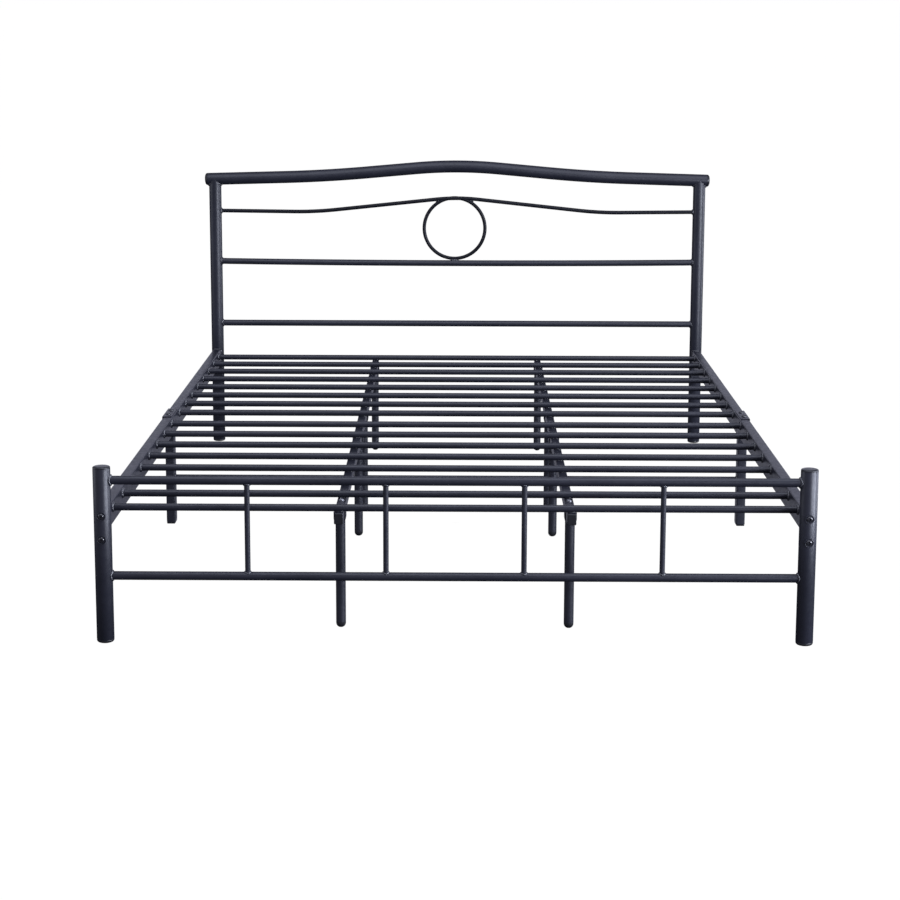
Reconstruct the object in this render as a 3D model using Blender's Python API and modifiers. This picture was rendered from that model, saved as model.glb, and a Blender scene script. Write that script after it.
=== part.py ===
"""Queen-size metal bed frame: headboard, footboard, two-part slatted deck, legs and fasteners.

Metres, +Z up.  The foot end is at -Y, the head end at +Y, and the origin is on the floor
under the middle of the frame.  Every sub-part is one named object with its own material.
"""
import math

import bmesh
import bpy
from mathutils import Vector

MM = 0.001
GAP = 0.3 * MM                     # clearance left between pieces that touch
PLUG_CLEARANCE = 0.8 * MM          # a plug inside a faceted tube
CUT_MARGIN = 5 * MM                # how far a cutter runs past the face it cuts

# ---- driving dimensions -------------------------------------------------------------
FRAME_LENGTH = 2078 * MM           # foot-post centre to head-post centre
POST_SPACING = 1518 * MM           # left-post centre to right-post centre
FOOT_Y = -FRAME_LENGTH / 2
HEAD_Y = FRAME_LENGTH / 2
POST_X = POST_SPACING / 2

POST_RADIUS = 19 * MM
POST_WALL = 1.5 * MM
POST_SIDES = 24
POST_GLIDE = 6 * MM                # thickness of the closed floor end of a post
FOOT_POST_TOP = 386 * MM           # tube end, under the plastic cap
FOOT_CAP_RISE = 4.5 * MM
FOOT_CAP_PLUG = 15 * MM

TUBE_SIDES = 16
TUBE_WALL = 1.2 * MM

# ---- headboard ----------------------------------------------------------------------
HEAD_RAIL_RADIUS = 19 * MM
HEAD_RAIL_END_X = 782 * MM
HEAD_RAIL_END_Z = 837 * MM
HEAD_RAIL_BEND = (414 * MM, 847.5 * MM)    # corner of the outer, soft bend
HEAD_RAIL_PEAK = (0.0, 884.8 * MM)         # corner of the crest bend
HEAD_RAIL_FILLET = 128 * MM                # tangent length of the bends
HEAD_CAP_RISE = 9 * MM
HEAD_CAP_PLUG = 18 * MM

SCROLL_RADIUS = 6 * MM
SCROLL_POST_Z = 738 * MM
SCROLL_BEND = (446 * MM, 735 * MM)
SCROLL_PEAK = (0.0, 782.6 * MM)
SCROLL_FILLET = 66 * MM
SCROLL_INNER_END = 28 * MM         # from the middle of the ring

MID_RAIL_Z = 574 * MM
LOW_RAIL_Z = 381.5 * MM
HEAD_BAR_RADIUS = 9.5 * MM
MID_RAIL_BOW = 5 * MM              # how far its ends stand above its middle

RING_MAJOR = 95.5 * MM
RING_MINOR = 5.5 * MM
RING_X = -7.6 * MM                 # the ring hangs a little left of the middle
RING_CLEARANCE = 0.8 * MM          # a bar that ends against the faceted ring
RING_Z = MID_RAIL_Z + HEAD_BAR_RADIUS + GAP + RING_MAJOR + RING_MINOR

# ---- footboard ----------------------------------------------------------------------
FOOT_TOP_RAIL_Z = 359.5 * MM
FOOT_LOW_RAIL_Z = 148 * MM
FOOT_RAIL_RADIUS = 9.5 * MM
SPINDLE_X = (-447.5 * MM, -149 * MM, 149 * MM, 447.5 * MM)
SPINDLE_RADIUS = 6 * MM

# ---- side rails ---------------------------------------------------------------------
SIDE_RAIL_INNER_X = 746 * MM
SIDE_RAIL_WIDTH = 25 * MM
SIDE_RAIL_TOP = 300 * MM
SIDE_RAIL_HEIGHT = 50 * MM
SIDE_RAIL_WALL = 1.5 * MM
RAIL_CORNER = 3 * MM
SPLIT_Y = FOOT_Y + 1024 * MM       # where the foot and head halves of the deck meet
END_PLATE_WIDTH = 30 * MM
END_PLATE_BOTTOM = 214 * MM
END_PLATE_THICKNESS = 6 * MM
POST_BOLT_Z = (232 * MM, 284 * MM)
BOLT_SHANK = 4 * MM
BOLT_HEAD = 8 * MM
BOLT_HEAD_RISE = 4 * MM
CRUSH_BAR_THICKNESS = 6 * MM       # the bar inside a post that both bolts run through
CRUSH_BAR_WIDTH = 12 * MM
CRUSH_BAR_OVERRUN = 8 * MM
BOLT_OVERRUN = 5 * MM              # a shank's reach beyond the far side of the post

JOINER_LIP_THICKNESS = 2 * MM
JOINER_WEB_THICKNESS = 2 * MM
JOINER_LENGTH = 108 * MM
JOINER_LIP = 25 * MM
SIDE_LEG_WIDTH = 23 * MM
SIDE_LEG_DEPTH = 40 * MM
SIDE_LEG_X = 762 * MM
SIDE_LEG_Y = FOOT_Y + 1034 * MM
SIDE_LEG_CORNER = 2.5 * MM
SIDE_LEG_FLOOR = 5 * MM            # thickness of the closed end on the floor
CROSSBAR_Z = 121.5 * MM            # the bar between the two side legs
CROSSBAR_RADIUS = 9.5 * MM

# ---- slats --------------------------------------------------------------------------
SLAT_RADIUS = 8 * MM
SLAT_Z = 286.5 * MM
SLATS_PER_HALF = 8
FOOT_SLAT_START = FOOT_Y + 56 * MM
FOOT_SLAT_PITCH = 128.2 * MM
HEAD_SLAT_START = FOOT_Y + 1102 * MM
HEAD_SLAT_PITCH = 126.3 * MM

# ---- centre rails and their legs ----------------------------------------------------
CENTRE_RAIL_X = 253.5 * MM
CENTRE_RAIL_WIDTH = 20 * MM
CENTRE_RAIL_HEIGHT = 25 * MM
CENTRE_RAIL_CORNER = 2 * MM
CENTRE_RAIL_TOP = SLAT_Z - SLAT_RADIUS - GAP
CENTRE_RAIL_BOTTOM = CENTRE_RAIL_TOP - CENTRE_RAIL_HEIGHT
CENTRE_RAIL_FOOT_END = FOOT_Y + 40 * MM
CENTRE_RAIL_HEAD_END = FOOT_Y + 1998 * MM
SPIGOT_LENGTH = 60 * MM            # its reach into each half
SWAGE_INSET = 0.4 * MM             # the swage that holds the spigot in the foot half
CENTRE_LEG_Y = tuple(FOOT_Y + y * MM for y in (112, 902, 1199, 1946))
CENTRE_LEG_RADIUS = 11 * MM
CENTRE_FOOT_FLOOR = 12 * MM        # thickness of the closed rounded end
SADDLE_BOTTOM = 246.5 * MM
SADDLE_RISE = 14 * MM              # how far the saddle walls climb the rail's sides
SADDLE_LENGTH = 30 * MM
SADDLE_CORNER = 3.5 * MM
SADDLE_INNER_WALL = 2.3 * MM
SADDLE_OUTER_WALL = 4 * MM
LEG_BOLT_RADIUS = 3 * MM

SIDES = (("left", -1), ("right", 1))


# ---- scene --------------------------------------------------------------------------
def clear_scene():
    for old in list(bpy.data.objects):
        bpy.data.objects.remove(old, do_unlink=True)


def new_collection(name):
    collection = bpy.data.collections.new(name)
    bpy.context.scene.collection.children.link(collection)
    return collection


def make_material(name, color, roughness, metallic):
    material = bpy.data.materials.new(name)
    material.use_nodes = True
    shader = material.node_tree.nodes["Principled BSDF"]
    shader.inputs["Base Color"].default_value = (*color, 1.0)
    shader.inputs["Roughness"].default_value = roughness
    shader.inputs["Metallic"].default_value = metallic
    material.diffuse_color = (*color, 1.0)
    return material


clear_scene()
PARTS = new_collection("metal_bed_frame")
CUTTERS = new_collection("cutters")
POWDER_COAT = make_material("powder_coated_steel", (0.016, 0.017, 0.026), 0.38, 0.0)
BLACK_PLASTIC = make_material("black_plastic", (0.011, 0.011, 0.012), 0.5, 0.0)
BOLT_STEEL = make_material("blackened_steel", (0.02, 0.02, 0.022), 0.35, 0.8)


# ---- building blocks ----------------------------------------------------------------
def add_object(name, data, material=None, collection=PARTS):
    """Link an object; without a material it is a cutter and stays out of the build."""
    obj = bpy.data.objects.new(name, data)
    collection.objects.link(obj)
    if material is not None:
        data.materials.append(material)
    return obj


def mark_as_cutter(obj):
    obj.hide_render = True
    obj.display_type = "WIRE"
    return obj


def shade_round(mesh, angle=math.radians(40)):
    mesh.shade_smooth()
    mesh.set_sharp_from_angle(angle=angle)


def mesh_from(bm, name):
    mesh = bpy.data.meshes.new(name)
    bm.to_mesh(mesh)
    bm.free()
    return mesh


def place_along(obj, start, end):
    """Put an object whose length runs along its own Z between two points."""
    start = Vector(start)
    end = Vector(end)
    obj.location = (start + end) / 2
    obj.rotation_mode = "QUATERNION"
    obj.rotation_quaternion = (end - start).to_track_quat("Z", "Y")


def add_solidify(obj, wall):
    shell = obj.modifiers.new("wall", "SOLIDIFY")
    shell.thickness = wall
    shell.offset = -1.0
    shell.use_even_offset = True


def add_boolean(obj, other, operation="DIFFERENCE"):
    cut = obj.modifiers.new(other.name, "BOOLEAN")
    cut.operation = operation
    cut.solver = "EXACT"
    cut.object = other


def cylinder_mesh(name, radius, length, sides, capped):
    bm = bmesh.new()
    bmesh.ops.create_cone(bm, cap_ends=capped, segments=sides, radius1=radius,
                          radius2=radius, depth=length)
    mesh = mesh_from(bm, name)
    shade_round(mesh)
    return mesh


def round_tube(name, start, end, radius, wall, sides=TUBE_SIDES):
    """A straight open-ended round tube between two points."""
    length = (Vector(end) - Vector(start)).length
    tube = add_object(name, cylinder_mesh(name, radius, length, sides, False), POWDER_COAT)
    place_along(tube, start, end)
    add_solidify(tube, wall)
    return tube


def cylinder_cutter(name, start, end, radius, sides=TUBE_SIDES):
    length = (Vector(end) - Vector(start)).length
    cutter = add_object(name, cylinder_mesh(name, radius, length, sides, True),
                        collection=CUTTERS)
    place_along(cutter, start, end)
    return mark_as_cutter(cutter)


def box_mesh(low, high):
    """A box between two corners, as a bmesh in world space."""
    low = Vector(low)
    high = Vector(high)
    bm = bmesh.new()
    bmesh.ops.create_cube(bm, size=1.0)
    bmesh.ops.scale(bm, vec=high - low, verts=bm.verts)
    bmesh.ops.translate(bm, vec=(low + high) / 2, verts=bm.verts)
    return bm


def bevel_edges(bm, keep, width):
    edges = [edge for edge in bm.edges if keep(edge)]
    bmesh.ops.bevel(bm, geom=edges, offset=width, segments=2, profile=0.5, affect="EDGES")


def runs_along(axis):
    """A test for edges that run along one axis of a box."""
    def test(edge):
        direction = (edge.verts[1].co - edge.verts[0].co).normalized()
        return abs(direction[axis]) > 0.99
    return test


def solid_box(name, low, high, corner=0.0):
    """A cutter box, with its edges along Y rounded if a corner radius is given."""
    bm = box_mesh(low, high)
    if corner > 0.0:
        bevel_edges(bm, runs_along(1), corner)
    return mark_as_cutter(add_object(name, mesh_from(bm, name), collection=CUTTERS))


def box_tube(name, low, high, wall, corner=RAIL_CORNER):
    """A rectangular tube along Y with rounded corners, open at both ends."""
    bm = box_mesh(low, high)
    bevel_edges(bm, runs_along(1), corner)
    ends = [face for face in bm.faces if abs(face.normal.y) > 0.99]
    bmesh.ops.delete(bm, geom=ends, context="FACES")
    mesh = mesh_from(bm, name)
    shade_round(mesh)
    tube = add_object(name, mesh, POWDER_COAT)
    add_solidify(tube, wall)
    return tube


def turned(name, profile, location, axis_tilt=None, sides=POST_SIDES, material=POWDER_COAT):
    """A turned solid: (radius, height) pairs down the outside, swept round Z."""
    bm = bmesh.new()
    verts = [bm.verts.new((radius, 0.0, height)) for radius, height in profile]
    for first, second in zip(verts, verts[1:]):
        bm.edges.new((first, second))
    if profile[-1][0] > 0.0:
        bm.edges.new((verts[-1], verts[0]))
    part = add_object(name, mesh_from(bm, name), material)
    sweep = part.modifiers.new("turn", "SCREW")
    sweep.steps = sides
    sweep.render_steps = sides
    sweep.use_merge_vertices = True
    sweep.merge_threshold = 0.00005
    part.location = location
    if axis_tilt is not None:
        part.rotation_euler = axis_tilt
    return part


def rounded_path(corners, fillet, steps=5):
    """Points in XZ through a row of corners, each inner corner rounded by a parabola."""
    points = [Vector(corners[0])]
    for before, corner, after in zip(corners, corners[1:], corners[2:]):
        corner = Vector(corner)
        enter = corner + (Vector(before) - corner).normalized() * fillet
        leave = corner + (Vector(after) - corner).normalized() * fillet
        for step in range(steps + 1):
            t = step / steps
            points.append(enter * (1 - t) ** 2 + corner * 2 * t * (1 - t) + leave * t ** 2)
    points.append(Vector(corners[-1]))
    return points


def bent_mesh(name, points, y, radius, resolution, capped):
    """The mesh of a round bar or open tube that follows points in the plane at y."""
    curve = bpy.data.curves.new(name, "CURVE")
    curve.dimensions = "3D"
    curve.bevel_depth = radius
    curve.bevel_resolution = resolution
    curve.render_resolution_u = 0
    curve.use_fill_caps = capped
    spline = curve.splines.new("POLY")
    spline.points.add(len(points) - 1)
    for target, point in zip(spline.points, points):
        target.co = (point.x, y, point.y, 1.0)
    guide = bpy.data.objects.new(name, curve)
    bpy.context.scene.collection.objects.link(guide)
    bpy.context.view_layer.update()
    evaluated = guide.evaluated_get(bpy.context.evaluated_depsgraph_get())
    mesh = bpy.data.meshes.new_from_object(evaluated)
    mesh.name = name
    bpy.data.objects.remove(guide, do_unlink=True)
    bm = bmesh.new()
    bm.from_mesh(mesh)
    bmesh.ops.remove_doubles(bm, verts=bm.verts, dist=0.00001)
    bm.to_mesh(mesh)
    bm.free()
    shade_round(mesh)
    return mesh


# ---- headboard ----------------------------------------------------------------------
def head_rail_points(end_x):
    corners = [(-end_x, HEAD_RAIL_END_Z), (-HEAD_RAIL_BEND[0], HEAD_RAIL_BEND[1]),
               HEAD_RAIL_PEAK, HEAD_RAIL_BEND, (end_x, HEAD_RAIL_END_Z)]
    return rounded_path(corners, HEAD_RAIL_FILLET)


def build_head_top_rail():
    """The bent top rail; returns the cutter that copes the posts under it."""
    points = head_rail_points(HEAD_RAIL_END_X)
    mesh = bent_mesh("head_top_rail", points, HEAD_Y, HEAD_RAIL_RADIUS, 6, False)
    rail = add_object("head_top_rail", mesh, POWDER_COAT)
    add_solidify(rail, POST_WALL)
    cutter_mesh = bent_mesh("head_top_rail_cutter", points, HEAD_Y,
                            HEAD_RAIL_RADIUS + GAP, 6, True)
    return mark_as_cutter(add_object("head_top_rail_cutter", cutter_mesh, collection=CUTTERS))


def cap_profile(radius, rise, plug_length, dome):
    """A plastic end cap: the dome's (radius, height) shares, then the plug inside the tube."""
    plug = radius - POST_WALL - PLUG_CLEARANCE
    return ([(share * radius, height * rise) for share, height in dome]
            + [(radius, GAP), (plug, GAP), (plug, -plug_length), (0.0, -plug_length)])


def build_head_rail_caps():
    """Domed plastic plugs in the two open ends of the top rail."""
    dome = ((0.0, 1.0), (0.45, 0.95), (0.72, 0.82), (0.9, 0.58), (1.0, 0.25))
    profile = cap_profile(HEAD_RAIL_RADIUS, HEAD_CAP_RISE, HEAD_CAP_PLUG, dome)
    tilt = math.atan2(HEAD_RAIL_BEND[1] - HEAD_RAIL_END_Z, HEAD_RAIL_END_X - HEAD_RAIL_BEND[0])
    for side, sign in SIDES:
        turned(f"head_rail_cap_{side}", profile, (sign * HEAD_RAIL_END_X, HEAD_Y, HEAD_RAIL_END_Z),
               axis_tilt=(0.0, sign * (math.pi / 2 + tilt), 0.0), material=BLACK_PLASTIC)


def crest_height(x):
    """Height of the scroll rod's centre line inside its crest bend."""
    rise = (SCROLL_PEAK[1] - SCROLL_BEND[1]) / SCROLL_BEND[0]
    run = SCROLL_FILLET / math.hypot(1.0, rise)
    top = SCROLL_PEAK[1] - rise * run / 2
    return top - rise * x * x / (2 * run)


def build_scroll_rods(post_cutters):
    """The thin rod under the top rail, in two halves that run into the ring."""
    ring_cutter = torus("ring_cutter", RING_MINOR + RING_CLEARANCE, CUTTERS, None)
    mark_as_cutter(ring_cutter)
    for side, sign in SIDES:
        corners = [(sign * POST_X, SCROLL_POST_Z), (sign * SCROLL_BEND[0], SCROLL_BEND[1]),
                   SCROLL_PEAK, (-sign * SCROLL_BEND[0], SCROLL_BEND[1])]
        inner_x = RING_X + sign * SCROLL_INNER_END
        path = [point for point in rounded_path(corners, SCROLL_FILLET)
                if sign * (point.x - inner_x) > MM]
        path.append(Vector((inner_x, crest_height(inner_x))))
        name = f"head_scroll_rod_{side}"
        rod = add_object(name, bent_mesh(name, path, HEAD_Y, SCROLL_RADIUS, 3, True), POWDER_COAT)
        add_boolean(rod, post_cutters[side])
        add_boolean(rod, ring_cutter)


def torus(name, minor, collection, material):
    """The ring under the crest, or a fatter copy of it to cut with."""
    bpy.ops.mesh.primitive_torus_add(major_radius=RING_MAJOR, minor_radius=minor,
                                     major_segments=48, minor_segments=12)
    made = bpy.context.object
    mesh = made.data
    mesh.name = name
    bpy.data.objects.remove(made, do_unlink=True)
    shade_round(mesh)
    ring = add_object(name, mesh, material, collection)
    ring.location = (RING_X, HEAD_Y, RING_Z)
    ring.rotation_euler = (math.pi / 2, 0.0, 0.0)
    return ring


def build_head_posts(rail_cutter):
    """Two round posts, closed at the floor, coped under the top rail."""
    cutters = {}
    for side, sign in SIDES:
        x = sign * POST_X
        post = turned(f"head_post_{side}", post_profile(HEAD_RAIL_END_Z), (x, HEAD_Y, 0.0))
        add_boolean(post, rail_cutter)
        drill_post(post, x, HEAD_Y, 1)
        cutters[side] = cylinder_cutter(f"head_post_cutter_{side}", (x, HEAD_Y, 0.0),
                                        (x, HEAD_Y, HEAD_RAIL_END_Z), POST_RADIUS + GAP,
                                        POST_SIDES)
    return cutters


def build_head_bars(post_cutters):
    """The straight low rail, and the mid rail, which the ring bows a little."""
    low = round_tube("head_low_rail", (-POST_X, HEAD_Y, LOW_RAIL_Z), (POST_X, HEAD_Y, LOW_RAIL_Z),
                     HEAD_BAR_RADIUS, TUBE_WALL)
    shares = [step / 8 for step in range(-8, 9)]
    path = [Vector((share * POST_X, MID_RAIL_Z + MID_RAIL_BOW * share ** 2)) for share in shares]
    mesh = bent_mesh("head_mid_rail", path, HEAD_Y, HEAD_BAR_RADIUS, 6, False)
    mid = add_object("head_mid_rail", mesh, POWDER_COAT)
    add_solidify(mid, TUBE_WALL)
    for bar in (low, mid):
        for cutter in post_cutters.values():
            add_boolean(bar, cutter)


# ---- posts and their bolts ----------------------------------------------------------
def post_profile(top):
    inner = POST_RADIUS - POST_WALL
    edge = 1.5 * MM
    return [(POST_RADIUS, top), (POST_RADIUS, edge), (POST_RADIUS - edge, 0.0), (0.0, 0.0),
            (0.0, POST_GLIDE), (inner, POST_GLIDE), (inner, top)]


def drill_post(post, x, y, outward):
    for z in POST_BOLT_Z:
        hole = cylinder_cutter(f"{post.name}_hole_{round(z / MM)}",
                               (x, y + outward * 2 * POST_RADIUS, z),
                               (x, y - outward * 2 * POST_RADIUS, z), BOLT_SHANK + GAP, 12)
        add_boolean(post, hole)


def bolt_profile(length):
    """A button-head bolt along +Z: the head ends at height 0, the shank runs below it."""
    head = ((0.0, 0.55), (0.3, 0.55), (0.33, 1.0), (0.58, 0.9), (0.85, 0.6), (1.0, 0.2), (1.0, 0.0))
    return ([(share * BOLT_HEAD, height * BOLT_HEAD_RISE) for share, height in head]
            + [(BOLT_SHANK, 0.0), (BOLT_SHANK, -length), (0.0, -length)])


def build_post_bolts(end, y, outward):
    """Two bolts through each post, with the crush bar inside it that they run through."""
    seat = outward * (POST_RADIUS + GAP)
    length = 2 * POST_RADIUS + BOLT_OVERRUN
    for side, sign in SIDES:
        x = sign * POST_X
        low, high = POST_BOLT_Z
        bar = solid_box(f"crush_bar_{end}_{side}",
                        (x - CRUSH_BAR_WIDTH / 2, y - CRUSH_BAR_THICKNESS / 2,
                         low - CRUSH_BAR_OVERRUN),
                        (x + CRUSH_BAR_WIDTH / 2, y + CRUSH_BAR_THICKNESS / 2,
                         high + CRUSH_BAR_OVERRUN))
        tilt = (-outward * math.pi / 2, 0.0, 0.0)
        upper = turned(f"{end}_post_bolts_{side}", bolt_profile(length), (x, y + seat, high),
                       axis_tilt=tilt, sides=12, material=BOLT_STEEL)
        lower = turned(f"lower_bolt_{end}_{side}", bolt_profile(length), (x, y + seat, low),
                       axis_tilt=tilt, sides=12)
        CUTTERS.objects.link(lower)
        PARTS.objects.unlink(lower)
        mark_as_cutter(lower)
        add_boolean(upper, bar, "UNION")
        add_boolean(upper, lower, "UNION")


# ---- footboard ----------------------------------------------------------------------
def build_footboard():
    """Two capped posts, two rails between them and four spindles between the rails."""
    post_cutters = []
    for side, sign in SIDES:
        x = sign * POST_X
        post = turned(f"foot_post_{side}", post_profile(FOOT_POST_TOP), (x, FOOT_Y, 0.0))
        drill_post(post, x, FOOT_Y, -1)
        post_cutters.append(cylinder_cutter(f"foot_post_cutter_{side}", (x, FOOT_Y, 0.0),
                                            (x, FOOT_Y, FOOT_POST_TOP), POST_RADIUS + GAP,
                                            POST_SIDES))
        build_foot_cap(side, x)
    rail_cutters = []
    for name, z in (("foot_top_rail", FOOT_TOP_RAIL_Z), ("foot_low_rail", FOOT_LOW_RAIL_Z)):
        ends = (-POST_X, FOOT_Y, z), (POST_X, FOOT_Y, z)
        rail = round_tube(name, *ends, FOOT_RAIL_RADIUS, TUBE_WALL)
        for cutter in post_cutters:
            add_boolean(rail, cutter)
        rail_cutters.append(cylinder_cutter(f"{name}_cutter", *ends, FOOT_RAIL_RADIUS + GAP))
    for number, x in enumerate(SPINDLE_X, start=1):
        spindle = round_tube(f"foot_spindle_{number}", (x, FOOT_Y, FOOT_LOW_RAIL_Z),
                             (x, FOOT_Y, FOOT_TOP_RAIL_Z), SPINDLE_RADIUS, TUBE_WALL, 12)
        for cutter in rail_cutters:
            add_boolean(spindle, cutter)


def build_foot_cap(side, x):
    """The low domed cap on a foot post, with a plug inside the tube."""
    dome = ((0.0, 1.0), (0.5, 0.93), (0.82, 0.76), (0.95, 0.47), (1.0, 0.11))
    profile = cap_profile(POST_RADIUS, FOOT_CAP_RISE, FOOT_CAP_PLUG, dome)
    turned(f"foot_post_cap_{side}", profile, (x, FOOT_Y, FOOT_POST_TOP), material=BLACK_PLASTIC)


# ---- side rails, joiners and side legs ----------------------------------------------
def signed_box(sign, inner_x, outer_x, y_range, z_range):
    """Corners of a box given by its distances from the centre plane, on one side."""
    xs = sorted((sign * inner_x, sign * outer_x))
    ys = sorted(y_range)
    return (xs[0], ys[0], z_range[0]), (xs[1], ys[1], z_range[1])


def build_side_rail(side, sign, end, post_y, toward_middle):
    """One half of a side rail: a rectangular tube welded to a bolted end plate."""
    outer_x = SIDE_RAIL_INNER_X + SIDE_RAIL_WIDTH
    plate_near = post_y + toward_middle * (POST_RADIUS + GAP)
    plate_far = plate_near + toward_middle * END_PLATE_THICKNESS
    rail_start = plate_near + toward_middle * END_PLATE_THICKNESS / 2
    rail_end = SPLIT_Y - toward_middle * GAP
    low, high = signed_box(sign, SIDE_RAIL_INNER_X, outer_x, (rail_start, rail_end),
                           (SIDE_RAIL_TOP - SIDE_RAIL_HEIGHT, SIDE_RAIL_TOP))
    rail = box_tube(f"side_rail_{side}_{end}", low, high, SIDE_RAIL_WALL)
    low, high = signed_box(sign, POST_X - END_PLATE_WIDTH / 2, POST_X + END_PLATE_WIDTH / 2,
                           (plate_near, plate_far), (END_PLATE_BOTTOM, SIDE_RAIL_TOP - MM))
    plate = solid_box(f"end_plate_{side}_{end}", low, high)
    add_boolean(rail, plate, "UNION")
    for z in POST_BOLT_Z:
        x = sign * POST_X
        hole = cylinder_cutter(f"end_plate_hole_{side}_{end}_{round(z / MM)}",
                               (x, plate_near - toward_middle * CUT_MARGIN, z),
                               (x, plate_far + toward_middle * CUT_MARGIN, z),
                               BOLT_SHANK + GAP, 12)
        add_boolean(rail, hole)


def build_joiner(side, sign):
    """The steel channel that wraps the outside of a side rail across its joint."""
    inner = SIDE_RAIL_INNER_X + SIDE_RAIL_WIDTH + GAP
    outer = inner + JOINER_WEB_THICKNESS
    top = SIDE_RAIL_TOP + GAP
    bottom = SIDE_RAIL_TOP - SIDE_RAIL_HEIGHT - GAP
    ys = (SPLIT_Y - JOINER_LENGTH / 2, SPLIT_Y + JOINER_LENGTH / 2)
    low, high = signed_box(sign, outer - JOINER_LIP, outer, ys,
                           (bottom - JOINER_LIP_THICKNESS, top + JOINER_LIP_THICKNESS))
    bm = box_mesh(low, high)
    bevel_edges(bm, lambda edge: runs_along(1)(edge) and
                all(sign * vert.co.x > outer - MM for vert in edge.verts), JOINER_LIP_THICKNESS)
    name = f"side_joiner_{side}"
    joiner = add_object(name, mesh_from(bm, name), POWDER_COAT)
    low, high = signed_box(sign, outer - JOINER_LIP - CUT_MARGIN, inner,
                           (ys[0] - CUT_MARGIN, ys[1] + CUT_MARGIN), (bottom, top))
    add_boolean(joiner, solid_box(f"joiner_slot_{side}", low, high, corner=RAIL_CORNER))


def build_middle_legs():
    """The welded frame under the middle of the bed: two rectangular legs and a crossbar."""
    top = SIDE_RAIL_TOP - SIDE_RAIL_HEIGHT - GAP - JOINER_LIP_THICKNESS - GAP
    wall = SIDE_RAIL_WALL
    half = SIDE_LEG_WIDTH / 2
    ys = (SIDE_LEG_Y - SIDE_LEG_DEPTH / 2, SIDE_LEG_Y + SIDE_LEG_DEPTH / 2)
    legs, hollows = [], []
    for side, sign in SIDES:
        low, high = signed_box(sign, SIDE_LEG_X - half, SIDE_LEG_X + half, ys, (0.0, top))
        bm = box_mesh(low, high)
        bevel_edges(bm, runs_along(2), SIDE_LEG_CORNER)
        legs.append(mesh_from(bm, f"side_leg_{side}"))
        hollows.append(solid_box(f"side_leg_hollow_{side}",
                                 (low[0] + wall, low[1] + wall, SIDE_LEG_FLOOR),
                                 (high[0] - wall, high[1] - wall, top + CUT_MARGIN)))
    frame = add_object("middle_leg_frame", legs[0], POWDER_COAT)
    other = mark_as_cutter(add_object("side_leg_right", legs[1], collection=CUTTERS))
    reach = SIDE_LEG_X - half
    bar = cylinder_cutter("crossbar", (-reach - wall / 2, SIDE_LEG_Y, CROSSBAR_Z),
                          (reach + wall / 2, SIDE_LEG_Y, CROSSBAR_Z), CROSSBAR_RADIUS)
    bore = cylinder_cutter("crossbar_bore", (-reach - 2 * wall, SIDE_LEG_Y, CROSSBAR_Z),
                           (reach + 2 * wall, SIDE_LEG_Y, CROSSBAR_Z), CROSSBAR_RADIUS - TUBE_WALL)
    add_boolean(frame, other, "UNION")
    add_boolean(frame, bar, "UNION")
    for cutter in (*hollows, bore):
        add_boolean(frame, cutter)


# ---- slats --------------------------------------------------------------------------
def build_slats():
    reach = SIDE_RAIL_INNER_X - GAP
    number = 0
    for start, pitch in ((FOOT_SLAT_START, FOOT_SLAT_PITCH), (HEAD_SLAT_START, HEAD_SLAT_PITCH)):
        for step in range(SLATS_PER_HALF):
            number += 1
            y = start + step * pitch
            round_tube(f"slat_{number:02d}", (-reach, y, SLAT_Z), (reach, y, SLAT_Z),
                       SLAT_RADIUS, TUBE_WALL, 12)


# ---- centre rails and legs ----------------------------------------------------------
def build_centre_rails(side, sign):
    """A rectangular tube under the slats, in two halves joined by a spigot."""
    inner = CENTRE_RAIL_X - CENTRE_RAIL_WIDTH / 2
    outer = CENTRE_RAIL_X + CENTRE_RAIL_WIDTH / 2
    heights = (CENTRE_RAIL_BOTTOM, CENTRE_RAIL_TOP)
    low, high = signed_box(sign, inner, outer, (CENTRE_RAIL_FOOT_END, SPLIT_Y - GAP), heights)
    foot_half = box_tube(f"centre_rail_{side}_foot", low, high, SIDE_RAIL_WALL,
                         CENTRE_RAIL_CORNER)
    low, high = signed_box(sign, inner, outer, (SPLIT_Y + GAP, CENTRE_RAIL_HEAD_END), heights)
    box_tube(f"centre_rail_{side}_head", low, high, SIDE_RAIL_WALL, CENTRE_RAIL_CORNER)
    shrink = SIDE_RAIL_WALL + GAP
    low, high = signed_box(sign, inner + shrink, outer - shrink,
                           (SPLIT_Y - SPIGOT_LENGTH, SPLIT_Y + SPIGOT_LENGTH),
                           (CENTRE_RAIL_BOTTOM + shrink, CENTRE_RAIL_TOP - shrink))
    spigot = solid_box(f"centre_spigot_{side}", low, high)
    low, high = signed_box(sign, inner + SWAGE_INSET, outer - SWAGE_INSET,
                           (SPLIT_Y - SPIGOT_LENGTH + CUT_MARGIN, SPLIT_Y - 2 * MM),
                           (CENTRE_RAIL_BOTTOM + SWAGE_INSET, CENTRE_RAIL_TOP - SWAGE_INSET))
    swage = solid_box(f"centre_swage_{side}", low, high)
    add_boolean(foot_half, spigot, "UNION")
    add_boolean(foot_half, swage, "UNION")


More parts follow.
